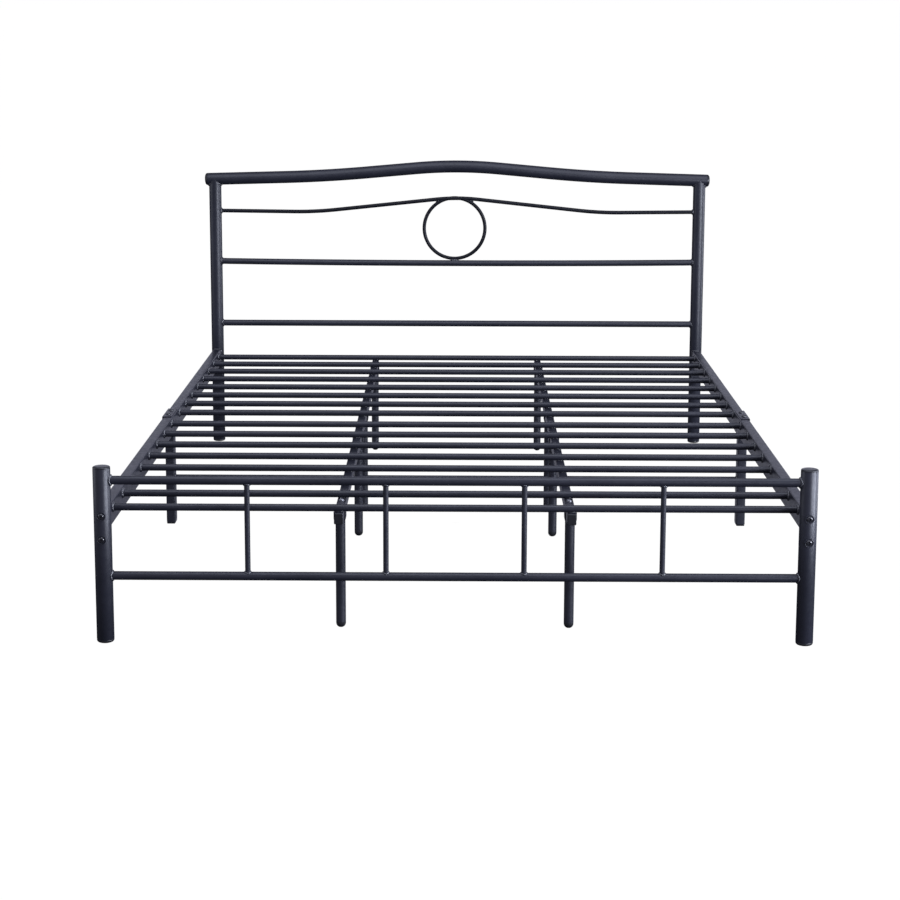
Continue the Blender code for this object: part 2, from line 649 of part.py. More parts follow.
def build_centre_leg(side, sign, number, y):
    """A round leg with a rounded closed end, and a saddle that cradles the centre rail."""
    x = sign * CENTRE_RAIL_X
    radius = CENTRE_LEG_RADIUS
    bore = radius - POST_WALL
    top = SADDLE_BOTTOM + 2 * MM
    rounded_end = [(radius, radius), (0.87 * radius, 0.5 * radius), (0.6 * radius, 0.2 * radius),
                   (0.3 * radius, 0.0)]
    profile = [(radius, top), *rounded_end, (0.0, 0.0), (0.0, CENTRE_FOOT_FLOOR),
               (bore, CENTRE_FOOT_FLOOR), (bore, top)]
    leg = turned(f"centre_leg_{side}_{number}", profile, (x, y, 0.0), sides=16)
    half_rail = CENTRE_RAIL_WIDTH / 2 + GAP
    inner = CENTRE_RAIL_X - half_rail - SADDLE_INNER_WALL
    outer = CENTRE_RAIL_X + half_rail + SADDLE_OUTER_WALL
    ys = (y - SADDLE_LENGTH / 2, y + SADDLE_LENGTH / 2)
    low, high = signed_box(sign, inner, outer, ys,
                           (SADDLE_BOTTOM, CENTRE_RAIL_BOTTOM + SADDLE_RISE))
    saddle = solid_box(f"saddle_{side}_{number}", low, high)
    bevel_saddle(saddle)
    low, high = signed_box(sign, CENTRE_RAIL_X - half_rail, CENTRE_RAIL_X + half_rail,
                           (ys[0] - CUT_MARGIN, ys[1] + CUT_MARGIN),
                           (CENTRE_RAIL_BOTTOM - GAP, CENTRE_RAIL_TOP))
    channel = solid_box(f"saddle_channel_{side}_{number}", low, high)
    add_boolean(saddle, channel)
    add_boolean(leg, saddle, "UNION")
    bolt_hole = cylinder_cutter(f"leg_bolt_hole_{side}_{number}", (x, y, SADDLE_BOTTOM - 10 * MM),
                                (x, y, CENTRE_RAIL_TOP), LEG_BOLT_RADIUS + GAP, 12)
    add_boolean(leg, bolt_hole)


def bevel_saddle(saddle):
    """Round the saddle's lower edges."""
    bm = bmesh.new()
    bm.from_mesh(saddle.data)
    lowest = min(vert.co.z for vert in bm.verts)
    bevel_edges(bm, lambda edge: all(vert.co.z < lowest + GAP for vert in edge.verts),
                SADDLE_CORNER)
    bm.to_mesh(saddle.data)
    bm.free()


# ---- the bed ------------------------------------------------------------------------
def build_bed():
    rail_cutter = build_head_top_rail()
    build_head_rail_caps()
    head_cutters = build_head_posts(rail_cutter)
    build_head_bars(head_cutters)
    torus("head_ring", RING_MINOR, PARTS, POWDER_COAT)
    build_scroll_rods(head_cutters)
    build_footboard()
    build_post_bolts("head", HEAD_Y, 1)
    build_post_bolts("foot", FOOT_Y, -1)
    build_slats()
    build_middle_legs()
    for side, sign in SIDES:
        build_side_rail(side, sign, "foot", FOOT_Y, 1)
        build_side_rail(side, sign, "head", HEAD_Y, -1)
        build_joiner(side, sign)
        build_centre_rails(side, sign)
        for number, y in enumerate(CENTRE_LEG_Y, start=1):
            build_centre_leg(side, sign, number, y)


build_bed()
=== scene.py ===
"""Looks of the queen-size metal bed frame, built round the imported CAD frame."""
import math

import bmesh
import bpy
from mathutils import Matrix, Vector


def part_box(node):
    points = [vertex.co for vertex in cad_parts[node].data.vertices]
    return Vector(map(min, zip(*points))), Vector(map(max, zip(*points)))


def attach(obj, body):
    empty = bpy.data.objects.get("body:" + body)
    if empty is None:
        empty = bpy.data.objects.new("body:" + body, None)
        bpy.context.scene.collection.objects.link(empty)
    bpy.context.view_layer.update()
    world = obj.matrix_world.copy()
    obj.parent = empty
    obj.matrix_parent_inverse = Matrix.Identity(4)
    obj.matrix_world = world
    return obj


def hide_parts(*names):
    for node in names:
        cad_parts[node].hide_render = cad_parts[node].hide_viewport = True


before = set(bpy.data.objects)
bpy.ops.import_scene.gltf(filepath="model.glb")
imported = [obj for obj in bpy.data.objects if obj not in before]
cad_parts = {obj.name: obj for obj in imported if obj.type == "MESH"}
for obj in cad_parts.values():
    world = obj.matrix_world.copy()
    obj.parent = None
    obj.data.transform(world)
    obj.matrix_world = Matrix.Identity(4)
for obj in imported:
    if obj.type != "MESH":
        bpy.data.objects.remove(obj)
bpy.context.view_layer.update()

MM = 0.001
TAU = 2 * math.pi
GAP = 0.3 * MM                  # clearance between pieces that touch
BODY = "root"
SIDES = (("left", -1), ("right", 1))


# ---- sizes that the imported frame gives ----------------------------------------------
def centre(node):
    low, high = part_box(node)
    return (low + high) / 2


def size(node):
    low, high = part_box(node)
    return high - low


FOOT_Y = centre("foot_post_left").y
HEAD_Y = centre("head_post_left").y
POST_X = centre("foot_post_right").x
POST_RADIUS = size("foot_post_right").x / 2
FOOT_POST_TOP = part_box("foot_post_right")[1].z
HEAD_RAIL_RADIUS = size("head_top_rail").y / 2
SCROLL_RADIUS = size("head_scroll_rod_right").y / 2
RING_MINOR = size("head_ring").y / 2
RING_MAJOR = size("head_ring").x / 2 - RING_MINOR
RING_X = centre("head_ring").x
RING_Z = centre("head_ring").z
RAIL_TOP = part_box("side_rail_right_foot")[1].z
RAIL_INNER_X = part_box("slat_01")[1].x + GAP
SPLIT_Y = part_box("side_rail_right_foot")[1].y
SLAT_NAMES = [f"slat_{number:02d}" for number in range(1, 17)]
SLAT_Z = centre("slat_01").z
SLAT_RADIUS = size("slat_01").z / 2

# ---- sizes of the bent tubes and small parts ----------------------------------------
HEAD_TUBE_END_X = 781.5 * MM
HEAD_RAIL_END = (782 * MM, 837 * MM)
HEAD_RAIL_BEND = (414 * MM, 847.5 * MM)
HEAD_RAIL_PEAK = (0.0, 884.4 * MM)
HEAD_RAIL_FILLET = 128 * MM
SCROLL_POST_Z = 738 * MM
SCROLL_BEND = (446 * MM, 735 * MM)
SCROLL_PEAK = (0.0, 782.6 * MM)
SCROLL_FILLET = 66 * MM
RAIL_WIDTH = 25 * MM
RAIL_HEIGHT = 50 * MM
RAIL_CORNER = 3.2 * MM
END_PLATE_HALF_WIDTH = 15 * MM
END_PLATE_THICKNESS = 6 * MM
POST_BOLT_Z = (232 * MM, 284 * MM)
BOLT_REACH = 4.3 * MM            # how far a post bolt's head stands out of its post
WASHER_FLOOR = 0.45 * MM         # the sunk middle of a saddle washer, off its post
BOLT_HEAD_RADIUS = 6.6 * MM
SOCKET = 2.5 * MM                # half the width across the flats of a bolt's hexagon
SOCKET_DEPTH = 4.5 * MM
JOINER_SHEET = 2 * MM
JOINER_TOP_BOLT_Y = 26 * MM      # from the joiner's middle
JOINER_SIDE_BOLT_INSET = 24 * MM
SIDE_LEG_HALF_WIDTH = 11.5 * MM
SIDE_LEG_CORNER = 3 * MM
SIDE_LEG_GLIDE = 5 * MM
CROSSBAR_Z = 121.5 * MM
CROSSBAR_RADIUS = 9.5 * MM
CENTRE_LEG_RADIUS = 11 * MM
CENTRE_LEG_END = 14 * MM
SADDLE_BOTTOM = 246.5 * MM
SADDLE_HALF_LENGTH = 15 * MM
SADDLE_CORNER = 5 * MM
SADDLE_INNER_SHEET = 2.3 * MM
SADDLE_OUTER_SHEET = 4.0 * MM
RAIL_BOLT_Y = 45 * MM            # from the leg under it
RAIL_BOLT_RISE = 3.6 * MM
JOINER_BOLT_RISE = 3.4 * MM
JOINER_SIDE_BOLT_RADIUS = 7.0 * MM
JOINER_SIDE_SOCKET = 2.2 * MM

# ---- weld beads ---------------------------------------------------------------------
RIPPLE = 2.4 * MM                # spacing of a weld's ripples
RIPPLE_SHARE = 0.11              # how far a ripple swells and sinks, of the bead's radius
HEAD_BAR_WELD = 2.4 * MM         # each weld's size is the radius of its bead
SCROLL_WELD = 3.0 * MM
RING_WELD = 3.0 * MM
CROTCH_WELD = 4.6 * MM
FOOT_TOP_RAIL_WELD = 3.2 * MM
FOOT_LOW_RAIL_WELD = 2.8 * MM
SPINDLE_WELD = 2.1 * MM
END_PLATE_WELD = 1.8 * MM
SIDE_LEG_WELD = 1.7 * MM
CROSSBAR_WELD = 2.6 * MM
SLAT_WELD = 3.4 * MM
TACK_WELD = 1.5 * MM

# ---- facets round a piece -----------------------------------------------------------
POST_SIDES = 56
FOOT_RAIL_SIDES = 40
BAR_SIDES = 32
ROD_SIDES = 28
CAP_SIDES = 48
BOLT_SIDES = 36
STUDIO_SIDES = 96


# ---- materials ----------------------------------------------------------------------
PATCH_SCALE = 7.0
COAT_ROUGHNESS = 0.1


def add_noise(tree, coordinates, scale, detail):
    noise = tree.nodes.new("ShaderNodeTexNoise")
    noise.inputs["Scale"].default_value = scale
    noise.inputs["Detail"].default_value = detail
    tree.links.new(coordinates.outputs["Object"], noise.inputs["Vector"])
    return noise


def add_range(tree, source, low, high, out_low, out_high):
    spread = tree.nodes.new("ShaderNodeMapRange")
    for name, value in (("From Min", low), ("From Max", high),
                        ("To Min", out_low), ("To Max", out_high)):
        spread.inputs[name].default_value = value
    tree.links.new(source, spread.inputs["Value"])
    return spread


def finish_material(name, dark, light, metallic, rough, peel_scale, peel_depth, peel_strength,
                    specular=0.5, coat=0.0):
    """A satin finish: blotchy colour and gloss, and a fine orange-peel bump."""
    material = bpy.data.materials.new(name)
    material.use_nodes = True
    tree = material.node_tree
    shader = tree.nodes["Principled BSDF"]
    shader.inputs["Metallic"].default_value = metallic
    shader.inputs["Specular IOR Level"].default_value = specular
    shader.inputs["Coat Weight"].default_value = coat
    shader.inputs["Coat Roughness"].default_value = COAT_ROUGHNESS
    coordinates = tree.nodes.new("ShaderNodeTexCoord")
    patches = add_noise(tree, coordinates, PATCH_SCALE, 4.0)
    tint = tree.nodes.new("ShaderNodeValToRGB")
    tint.color_ramp.elements[0].position = 0.38
    tint.color_ramp.elements[0].color = (*dark, 1.0)
    tint.color_ramp.elements[1].position = 0.64
    tint.color_ramp.elements[1].color = (*light, 1.0)
    tree.links.new(patches.outputs["Fac"], tint.inputs["Fac"])
    tree.links.new(tint.outputs["Color"], shader.inputs["Base Color"])
    grain = add_noise(tree, coordinates, peel_scale / 9, 3.0)
    gloss = add_range(tree, grain.outputs["Fac"], 0.3, 0.7, *rough)
    tree.links.new(gloss.outputs["Result"], shader.inputs["Roughness"])
    peel = add_noise(tree, coordinates, peel_scale, 2.0)
    bump = tree.nodes.new("ShaderNodeBump")
    bump.inputs["Strength"].default_value = peel_strength
    bump.inputs["Distance"].default_value = peel_depth
    tree.links.new(peel.outputs["Fac"], bump.inputs["Height"])
    tree.links.new(bump.outputs["Normal"], shader.inputs["Normal"])
    return material


POWDER_COAT = finish_material("powder_coat", (0.0125, 0.0135, 0.021), (0.0185, 0.0195, 0.029),
                              0.0, (0.33, 0.43), 950.0, 0.00035, 0.22)
WELD_COAT = finish_material("powder_coat_on_weld", (0.011, 0.012, 0.018), (0.016, 0.017, 0.025),
                            0.0, (0.15, 0.22), 700.0, 0.0003, 0.2, 0.9, coat=1.0)
# The same powder coat as the frame, painted darker and given a weaker reflection for the thin rods
# and ring: painted shade, not a different finish.
ROD_COAT_PAINTED_DARK = finish_material("powder_coat_painted_dark_on_rods", (0.005, 0.0055, 0.0085), (0.008, 0.0085, 0.013),
                           0.0, (0.36, 0.46), 950.0, 0.00035, 0.2, 0.22)
PLASTIC = finish_material("moulded_plastic", (0.010, 0.0105, 0.013), (0.015, 0.0155, 0.019),
                          0.0, (0.27, 0.36), 1600.0, 0.0002, 0.3)
BOLT = finish_material("blackened_bolt", (0.008, 0.008, 0.010), (0.014, 0.014, 0.018),
                       0.0, (0.10, 0.18), 2200.0, 0.0001, 0.1, 1.0)
RAIL_BOLT = finish_material("worn_bolt", (0.16, 0.16, 0.17), (0.26, 0.26, 0.28),
                            1.0, (0.16, 0.24), 2200.0, 0.0001, 0.1)


# ---- mesh building ------------------------------------------------------------------
def cap(bm, row):
    """Close a ring with a fan round its middle."""
    middle = bm.verts.new(sum((vert.co for vert in row), Vector()) / len(row))
    for first, second in zip(row, row[1:] + row[:1]):
        bm.faces.new((first, second, middle))


def loft(bm, rings, closed=False):
    """A closed skin through rings that all have the same number of points."""
    rows = [[bm.verts.new(point) for point in ring] for ring in rings]
    pairs = list(zip(rows, rows[1:]))
    if closed:
        pairs.append((rows[-1], rows[0]))
    for near, far in pairs:
        for index in range(len(near)):
            after = (index + 1) % len(near)
            bm.faces.new((near[index], near[after], far[after], far[index]))
    if not closed:
        cap(bm, rows[0])
        cap(bm, rows[-1])


def angles(sides):
    return [TAU * index / sides for index in range(sides)]


def in_mm(profile):
    return [(radius * MM, height * MM) for radius, height in profile]


def turn(bm, profile, place, sides):
    """A turned solid: (radius, height) pairs up the outside, placed by a matrix."""
    loft(bm, [[place @ Vector((radius * math.cos(a), radius * math.sin(a), height))
               for a in angles(sides)] for radius, height in profile])


def rounded_outline(half_wide, half_high, corner, segments=5):
    """Points round a rounded rectangle that is centred on zero."""
    outline = []
    for quarter, (sx, sz) in enumerate(((1, 1), (-1, 1), (-1, -1), (1, -1))):
        for step in range(segments + 1):
            a = (quarter + step / segments) * TAU / 4
            outline.append((sx * (half_wide - corner) + corner * math.cos(a),
                            sz * (half_high - corner) + corner * math.sin(a)))
    return outline


def rounded_bar(bm, low, high, axis, corner, ease=0.5 * MM):
    """A box with rounded long edges along one axis and slightly eased ends."""
    low, high = Vector(low), Vector(high)
    middle = (low + high) / 2
    half = (high - low) / 2
    across = [index for index in range(3) if index != axis]
    rings = []
    for along, shrink in ((-half[axis], ease), (-half[axis] + ease, 0.0),
                          (half[axis] - ease, 0.0), (half[axis], ease)):
        outline = rounded_outline(half[across[0]] - shrink, half[across[1]] - shrink,
                                  max(corner - shrink, 0.2 * MM))
        ring = []
        for first, second in outline:
            point = middle.copy()
            point[across[0]] += first
            point[across[1]] += second
            point[axis] += along
            ring.append(point)
        rings.append(ring)
    loft(bm, rings)


def sweep(bm, path, y, radius, sides, first_ring=None, last_ring=None):
    """A round bar along a path in the plane at y, with its end rings as given."""
    rings = []
    for index, point in enumerate(path):
        ahead = path[min(index + 1, len(path) - 1)]
        behind = path[max(index - 1, 0)]
        along = (ahead - behind).normalized()
        across = Vector((-along.y, along.x))
        rings.append([Vector((point.x + radius * math.sin(a) * across.x,
                              y + radius * math.cos(a),
                              point.y + radius * math.sin(a) * across.y))
                      for a in angles(sides)])
    if first_ring is not None:
        rings[0] = first_ring
    if last_ring is not None:
        rings[-1] = last_ring
    loft(bm, rings)


def extrude(bm, near, far):
    """A straight solid between two equal outlines, which may be channels."""
    rows = [[bm.verts.new(point) for point in outline] for outline in (near, far)]
    bm.faces.new(rows[0])
    bm.faces.new(rows[1])
    for index in range(len(near)):
        after = (index + 1) % len(near)
        bm.faces.new((rows[0][index], rows[0][after], rows[1][after], rows[1][index]))


def bead(bm, curve, outward, radius, closed=True, sides=8):
    """A rippled weld along curve(t); radius(t) may change on the way."""
    samples = [curve(index / 64) for index in range(65)]
    length = sum((b - a).length for a, b in zip(samples, samples[1:]))
    count = 4 * max(4, round(length / RIPPLE))
    total = count if closed else count + 1
    rings = []
    for index in range(total):
        t = index / count
        ahead, behind = t + 0.4 / count, t - 0.4 / count
        if closed:
            along = (curve(ahead % 1.0) - curve(behind % 1.0)).normalized()
        else:
            along = (curve(min(ahead, 1.0)) - curve(max(behind, 0.0))).normalized()
        normal = outward(t)
        normal = (normal - along * normal.dot(along)).normalized()
        side = along.cross(normal)
        here = radius(t) * (1.0 + RIPPLE_SHARE * math.cos(TAU * index / 4))
        if not closed:
            here *= max(0.15, (1.0 - abs(2 * t - 1) ** 4))
        rings.append([curve(t) + here * (normal * math.cos(a) + side * math.sin(a))
                      for a in angles(sides)])
    loft(bm, rings, closed)


def rounded_path(corners, fillet, steps=24):
    """Points in XZ through a row of corners, each inner corner rounded by a parabola."""
    points = [Vector(corners[0])]
    for before, corner, after in zip(corners, corners[1:], corners[2:]):
        corner = Vector(corner)
        enter = corner + (Vector(before) - corner).normalized() * fillet
        leave = corner + (Vector(after) - corner).normalized() * fillet
        for step in range(steps + 1):
            t = step / steps
            points.append(enter * (1 - t) ** 2 + corner * 2 * t * (1 - t) + leave * t ** 2)
    points.append(Vector(corners[-1]))
    return points


def add_piece(name, bm, material, nodes=(), sharp=35.0):
    """Make the piece, let it ride on the frame and hide the CAD nodes it stands for."""
    bmesh.ops.recalc_face_normals(bm, faces=bm.faces)
    mesh = bpy.data.meshes.new(name)
    bm.to_mesh(mesh)
    bm.free()
    mesh.shade_smooth()
    mesh.set_sharp_from_angle(angle=math.radians(sharp))
    mesh.materials.append(material)
    piece = bpy.data.objects.new(name, mesh)
    bpy.context.scene.collection.objects.link(piece)
    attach(piece, BODY)
    if nodes:
        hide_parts(*nodes)
    return piece


def coat_piece(name, bm, nodes=()):
    return add_piece(name, bm, POWDER_COAT, nodes)


# ---- cuts and joints ----------------------------------------------------------------
def round_level_bar(t):
    """Away from the middle of a bar that runs from side to side."""
    return Vector((0.0, math.cos(TAU * t), math.sin(TAU * t)))


def round_upright(t):
    """Away from the middle of an upright tube."""
    return Vector((math.cos(TAU * t), math.sin(TAU * t), 0.0))


def post_skin_point(sign, y, z, radius, a):
    """Where a level bar's skin meets a post, at an angle round the bar."""
    across = radius * math.cos(a)
    return Vector((sign * (POST_X - math.sqrt(POST_RADIUS ** 2 - across ** 2)),
                   y + across, z + radius * math.sin(a)))


def post_ring(sign, y, z, radius, sides):
    return [post_skin_point(sign, y, z, radius, a) for a in angles(sides)]


def weld_bar_to_post(bm, sign, y, z, radius, weld):
    bead(bm, lambda t: post_skin_point(sign, y, z, radius, TAU * t), round_level_bar,
         lambda t: weld)


def head_rail_height(x):
    """Height of the top rail's centre line over its straight outer run."""
    (end_x, end_z), (bend_x, bend_z) = HEAD_RAIL_END, HEAD_RAIL_BEND
    return end_z + (bend_z - end_z) * (end_x - abs(x)) / (end_x - bend_x)


def post_top_point(x0, y0, a):
    x = x0 + POST_RADIUS * math.cos(a)
    across = POST_RADIUS * math.sin(a)
    drop = math.sqrt(max(HEAD_RAIL_RADIUS ** 2 - across ** 2, 0.0))
    return Vector((x, y0 + across, head_rail_height(x) - drop))


# ---- headboard ----------------------------------------------------------------------
def build_head_top_rail():
    bend_x, bend_z = HEAD_RAIL_BEND
    end_z = head_rail_height(HEAD_TUBE_END_X)
    corners = [(-HEAD_TUBE_END_X, end_z), (-bend_x, bend_z), HEAD_RAIL_PEAK,
               (bend_x, bend_z), (HEAD_TUBE_END_X, end_z)]
    bm = bmesh.new()
    sweep(bm, rounded_path(corners, HEAD_RAIL_FILLET), HEAD_Y, HEAD_RAIL_RADIUS, POST_SIDES)
    coat_piece("head_top_rail_tube", bm, ["head_top_rail"])
    tilt = math.atan2(bend_z - end_z, HEAD_TUBE_END_X - bend_x)
    profile = [(17.5, -3.0), (17.5, 0.3), (18.5, 0.3), (18.95, 0.8), (18.9, 2.0), (18.3, 3.7),
               (17.2, 5.2), (15.4, 6.6), (12.5, 7.9), (8.5, 8.7), (4.0, 9.05)]
    for side, sign in SIDES:
        bm = bmesh.new()
        place = (Matrix.Translation((sign * HEAD_TUBE_END_X, HEAD_Y, end_z))
                 @ Matrix.Rotation(sign * (math.pi / 2 + tilt), 4, "Y"))
        turn(bm, in_mm(profile), place, CAP_SIDES)
        add_piece(f"head_rail_end_cap_{side}", bm, PLASTIC,
                  [f"head_rail_cap_{side}"])


def build_head_posts(welds):
    for side, sign in SIDES:
        x0 = sign * POST_X
        bm = bmesh.new()
        rings = []
        for radius, z in ((17.6, 4.0), (17.6, 7.0), (18.6, 7.0), (19.0, 7.6), (19.0, 400.0)):
            rings.append([Vector((x0 + radius * MM * math.cos(a),
                                  HEAD_Y + radius * MM * math.sin(a), z * MM))
                          for a in angles(POST_SIDES)])
        rings.append([post_top_point(x0, HEAD_Y, a) for a in angles(POST_SIDES)])
        loft(bm, rings)
        coat_piece(f"head_post_{side}_tube", bm, [f"head_post_{side}"])
        bead(welds, lambda t: post_top_point(x0, HEAD_Y, TAU * t), round_upright,
             lambda t: (0.4 + 2.8 * math.cos(TAU * t) ** 2) * MM)


def build_head_bars(welds):
    """The straight low rail, and the mid rail, which the ring bows a little."""
    for node in ("head_mid_rail", "head_low_rail"):
        low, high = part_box(node)
        radius = size(node).y / 2
        bow = high.z - low.z - 2 * radius
        z = low.z + radius
        shares = [step / 20 for step in range(-20, 21)]
        path = [Vector((share * POST_X, z + bow * share * share)) for share in shares]
        bm = bmesh.new()
        sweep(bm, path, HEAD_Y, radius, BAR_SIDES,
              post_ring(-1, HEAD_Y, z + bow, radius, BAR_SIDES),
              post_ring(1, HEAD_Y, z + bow, radius, BAR_SIDES))
        coat_piece(f"{node}_tube", bm, [node])
        for _, sign in SIDES:
            weld_bar_to_post(welds, sign, HEAD_Y, z + bow, radius, HEAD_BAR_WELD)


def crest_height(x):
    """Height of the scroll rod's centre line inside its crest bend."""
    rise = (SCROLL_PEAK[1] - SCROLL_BEND[1]) / SCROLL_BEND[0]
    run = SCROLL_FILLET / math.hypot(1.0, rise)
    return SCROLL_PEAK[1] - rise * run / 2 - rise * x * x / (2 * run)


def build_scroll(welds):
    """The bent rod under the top rail, in two halves that meet over the ring."""
    for side, sign in SIDES:
        corners = [(sign * POST_X, SCROLL_POST_Z), (sign * SCROLL_BEND[0], SCROLL_BEND[1]),
                   SCROLL_PEAK, (-sign * SCROLL_BEND[0], SCROLL_BEND[1])]
        path = rounded_path(corners, SCROLL_FILLET)
        path = [point for point in path if sign * (point.x - RING_X) > MM]
        path.append(Vector((RING_X, crest_height(RING_X))))
        bm = bmesh.new()
        ring = post_ring(sign, HEAD_Y, SCROLL_POST_Z, SCROLL_RADIUS, ROD_SIDES)
        if sign > 0:  # this half runs to the left, so its rings turn the other way
            ring = ring[:1] + ring[:0:-1]
        sweep(bm, path, HEAD_Y, SCROLL_RADIUS, ROD_SIDES, ring)
        # The scroll rod takes the powder coat that is painted darker: painted shade.
        add_piece(f"head_scroll_rod_{side}_bar", bm, ROD_COAT_PAINTED_DARK,
                  [f"head_scroll_rod_{side}"])
        weld_bar_to_post(welds, sign, HEAD_Y, SCROLL_POST_Z, SCROLL_RADIUS, SCROLL_WELD)


def build_ring(welds):
    """The ring, welded to the mid rail under it and to the scroll rod over it."""
    bm = bmesh.new()
    rings = []
    for turned in angles(160):
        spoke = Vector((math.cos(turned), 0.0, math.sin(turned)))
        middle = Vector((RING_X, HEAD_Y, RING_Z)) + spoke * RING_MAJOR
        rings.append([middle + RING_MINOR * (spoke * math.cos(a) + Vector((0, math.sin(a), 0)))
                      for a in angles(20)])
    loft(bm, rings, closed=True)
    # The ring takes the powder coat that is painted darker: painted shade.
    add_piece("head_ring_bar", bm, ROD_COAT_PAINTED_DARK, ["head_ring"])
    mid_top = RING_Z - RING_MAJOR - RING_MINOR
    for front in (-1, 1):
        bead(welds, lambda t: Vector((RING_X + (t - 0.5) * 26 * MM, HEAD_Y + front * 3.2 * MM,
                                      mid_top + 0.6 * MM)),
             lambda t: Vector((0, front, 0)), lambda t: RING_WELD, closed=False)
    for _, sign in SIDES:
        def crotch(t):
            x = (40 + 20 * t) * MM
            ring_z = RING_Z + math.sqrt(RING_MAJOR ** 2 - x * x)
            return Vector((RING_X + sign * x, HEAD_Y,
                           (ring_z + crest_height(RING_X + sign * x)) / 2))
        bead(welds, crotch, lambda t: Vector((0, -1, 0)),
             lambda t: CROTCH_WELD * (1 - 0.55 * t), closed=False)


# ---- posts' small parts -------------------------------------------------------------
def build_glides():
    """Rounded plastic glides in the floor ends of the posts."""
    profile = [(11.0, 0.0), (14.6, 0.15), (16.6, 0.9), (18.0, 2.2), (18.75, 3.8), (18.95, 5.4),
               (18.6, 6.8), (17.4, 6.9), (17.4, 12.0)]
    for end, y in (("head", HEAD_Y), ("foot", FOOT_Y)):
        for side, sign in SIDES:
            bm = bmesh.new()
            turn(bm, in_mm(profile), Matrix.Translation((sign * POST_X, y, 0.0)), CAP_SIDES)
            add_piece(f"{end}_post_{side}_glide", bm, PLASTIC)


def hexagon_radius(a, apothem):
    return apothem / math.cos((a % (TAU / 6)) - TAU / 12)


def button_bolt(bm, place, head_radius, rise, socket):
    """A domed head with a hexagon socket; the head stands on height zero."""
    rings = []
    for share, height in ((0.6, -6.0 * MM), (0.6, 0.0), (1.0, 0.0), (1.0, rise * 0.18),
                          (0.97, rise * 0.42), (0.88, rise * 0.66), (0.74, rise * 0.86),
                          (0.60, rise * 0.97), (0.50, rise)):
        rings.append([(share * head_radius * math.cos(a), share * head_radius * math.sin(a),
                       height) for a in angles(BOLT_SIDES)])
    for shrink, height in ((1.1, rise * 0.985), (1.0, rise * 0.88), (0.97, -SOCKET_DEPTH)):
        rings.append([(shrink * hexagon_radius(a, socket) * math.cos(a),
                       shrink * hexagon_radius(a, socket) * math.sin(a), height)
                      for a in angles(BOLT_SIDES)])
    loft(bm, [[place @ Vector(point) for point in ring] for ring in rings])


def build_post_bolts():
    for end, y, outward in (("head", HEAD_Y, 1), ("foot", FOOT_Y, -1)):
        for side, sign in SIDES:
            x = sign * POST_X
            bolts, washers = bmesh.new(), bmesh.new()
            for z in POST_BOLT_Z:
                face = y + outward * (POST_RADIUS + WASHER_FLOOR)
                place = (Matrix.Translation((x, face, z))
                         @ Matrix.Rotation(-outward * math.pi / 2, 4, "X"))
                button_bolt(bolts, place, BOLT_HEAD_RADIUS, BOLT_REACH - WASHER_FLOOR, SOCKET)
                rings = []
                for radius, reach in ((9.9, None), (9.9, 0.9), (9.6, 1.35), (9.1, 1.5),
                                      (8.6, 1.3), (8.0, 0.5), (3.0, 0.45)):
                    ring = []
                    for a in angles(BOLT_SIDES):
                        dx, dz = radius * MM * math.cos(a), radius * MM * math.sin(a)
                        depth = (math.sqrt(POST_RADIUS ** 2 - dx * dx) if reach is None
                                 else POST_RADIUS + reach * MM)
                        ring.append(Vector((x + dx, y + outward * depth, z + dz)))
                    rings.append(ring)
                loft(washers, rings)
            add_piece(f"{end}_post_{side}_bolt_heads", bolts, BOLT,
                      [f"{end}_post_bolts_{side}"])
            add_piece(f"{end}_post_{side}_saddle_washers", washers, POWDER_COAT)


# ---- footboard ----------------------------------------------------------------------
def build_footboard(welds):
    for side, sign in SIDES:
        x0 = sign * POST_X
        top = FOOT_POST_TOP / MM
        bm = bmesh.new()
        turn(bm, in_mm([(17.6, 4.0), (17.6, 7.0), (18.6, 7.0), (19.0, 7.6), (19.0, top - 0.5),
                        (18.7, top), (17.5, top), (17.5, top - 6)]),
             Matrix.Translation((x0, FOOT_Y, 0.0)), POST_SIDES)
        coat_piece(f"foot_post_{side}_tube", bm, [f"foot_post_{side}"])
        bm = bmesh.new()
        turn(bm, in_mm([(17.3, -8.0), (17.3, 0.45), (18.5, 0.45), (18.95, 0.8), (18.95, 1.6),
                        (18.6, 2.6), (17.8, 3.35), (16.4, 3.9), (14.0, 4.2), (8.0, 4.4),
                        (3.0, 4.48)]),
             Matrix.Translation((x0, FOOT_Y, FOOT_POST_TOP)), CAP_SIDES)
        add_piece(f"foot_post_{side}_end_cap", bm, PLASTIC,
                  [f"foot_post_cap_{side}"])
    rails = []
    for node, weld in (("foot_top_rail", FOOT_TOP_RAIL_WELD),
                       ("foot_low_rail", FOOT_LOW_RAIL_WELD)):
        z = centre(node).z
        radius = size(node).y / 2
        rails.append((z, radius))
        bm = bmesh.new()
        path = [Vector((x * POST_X, z)) for x in (-1, -0.5, 0, 0.5, 1)]
        sweep(bm, path, FOOT_Y, radius, FOOT_RAIL_SIDES,
              post_ring(-1, FOOT_Y, z, radius, FOOT_RAIL_SIDES),
              post_ring(1, FOOT_Y, z, radius, FOOT_RAIL_SIDES))
        coat_piece(f"{node}_tube", bm, [node])
        for _, sign in SIDES:
            weld_bar_to_post(welds, sign, FOOT_Y, z, radius, weld)
    for number in range(1, 5):
        build_spindle(welds, f"foot_spindle_{number}", rails)


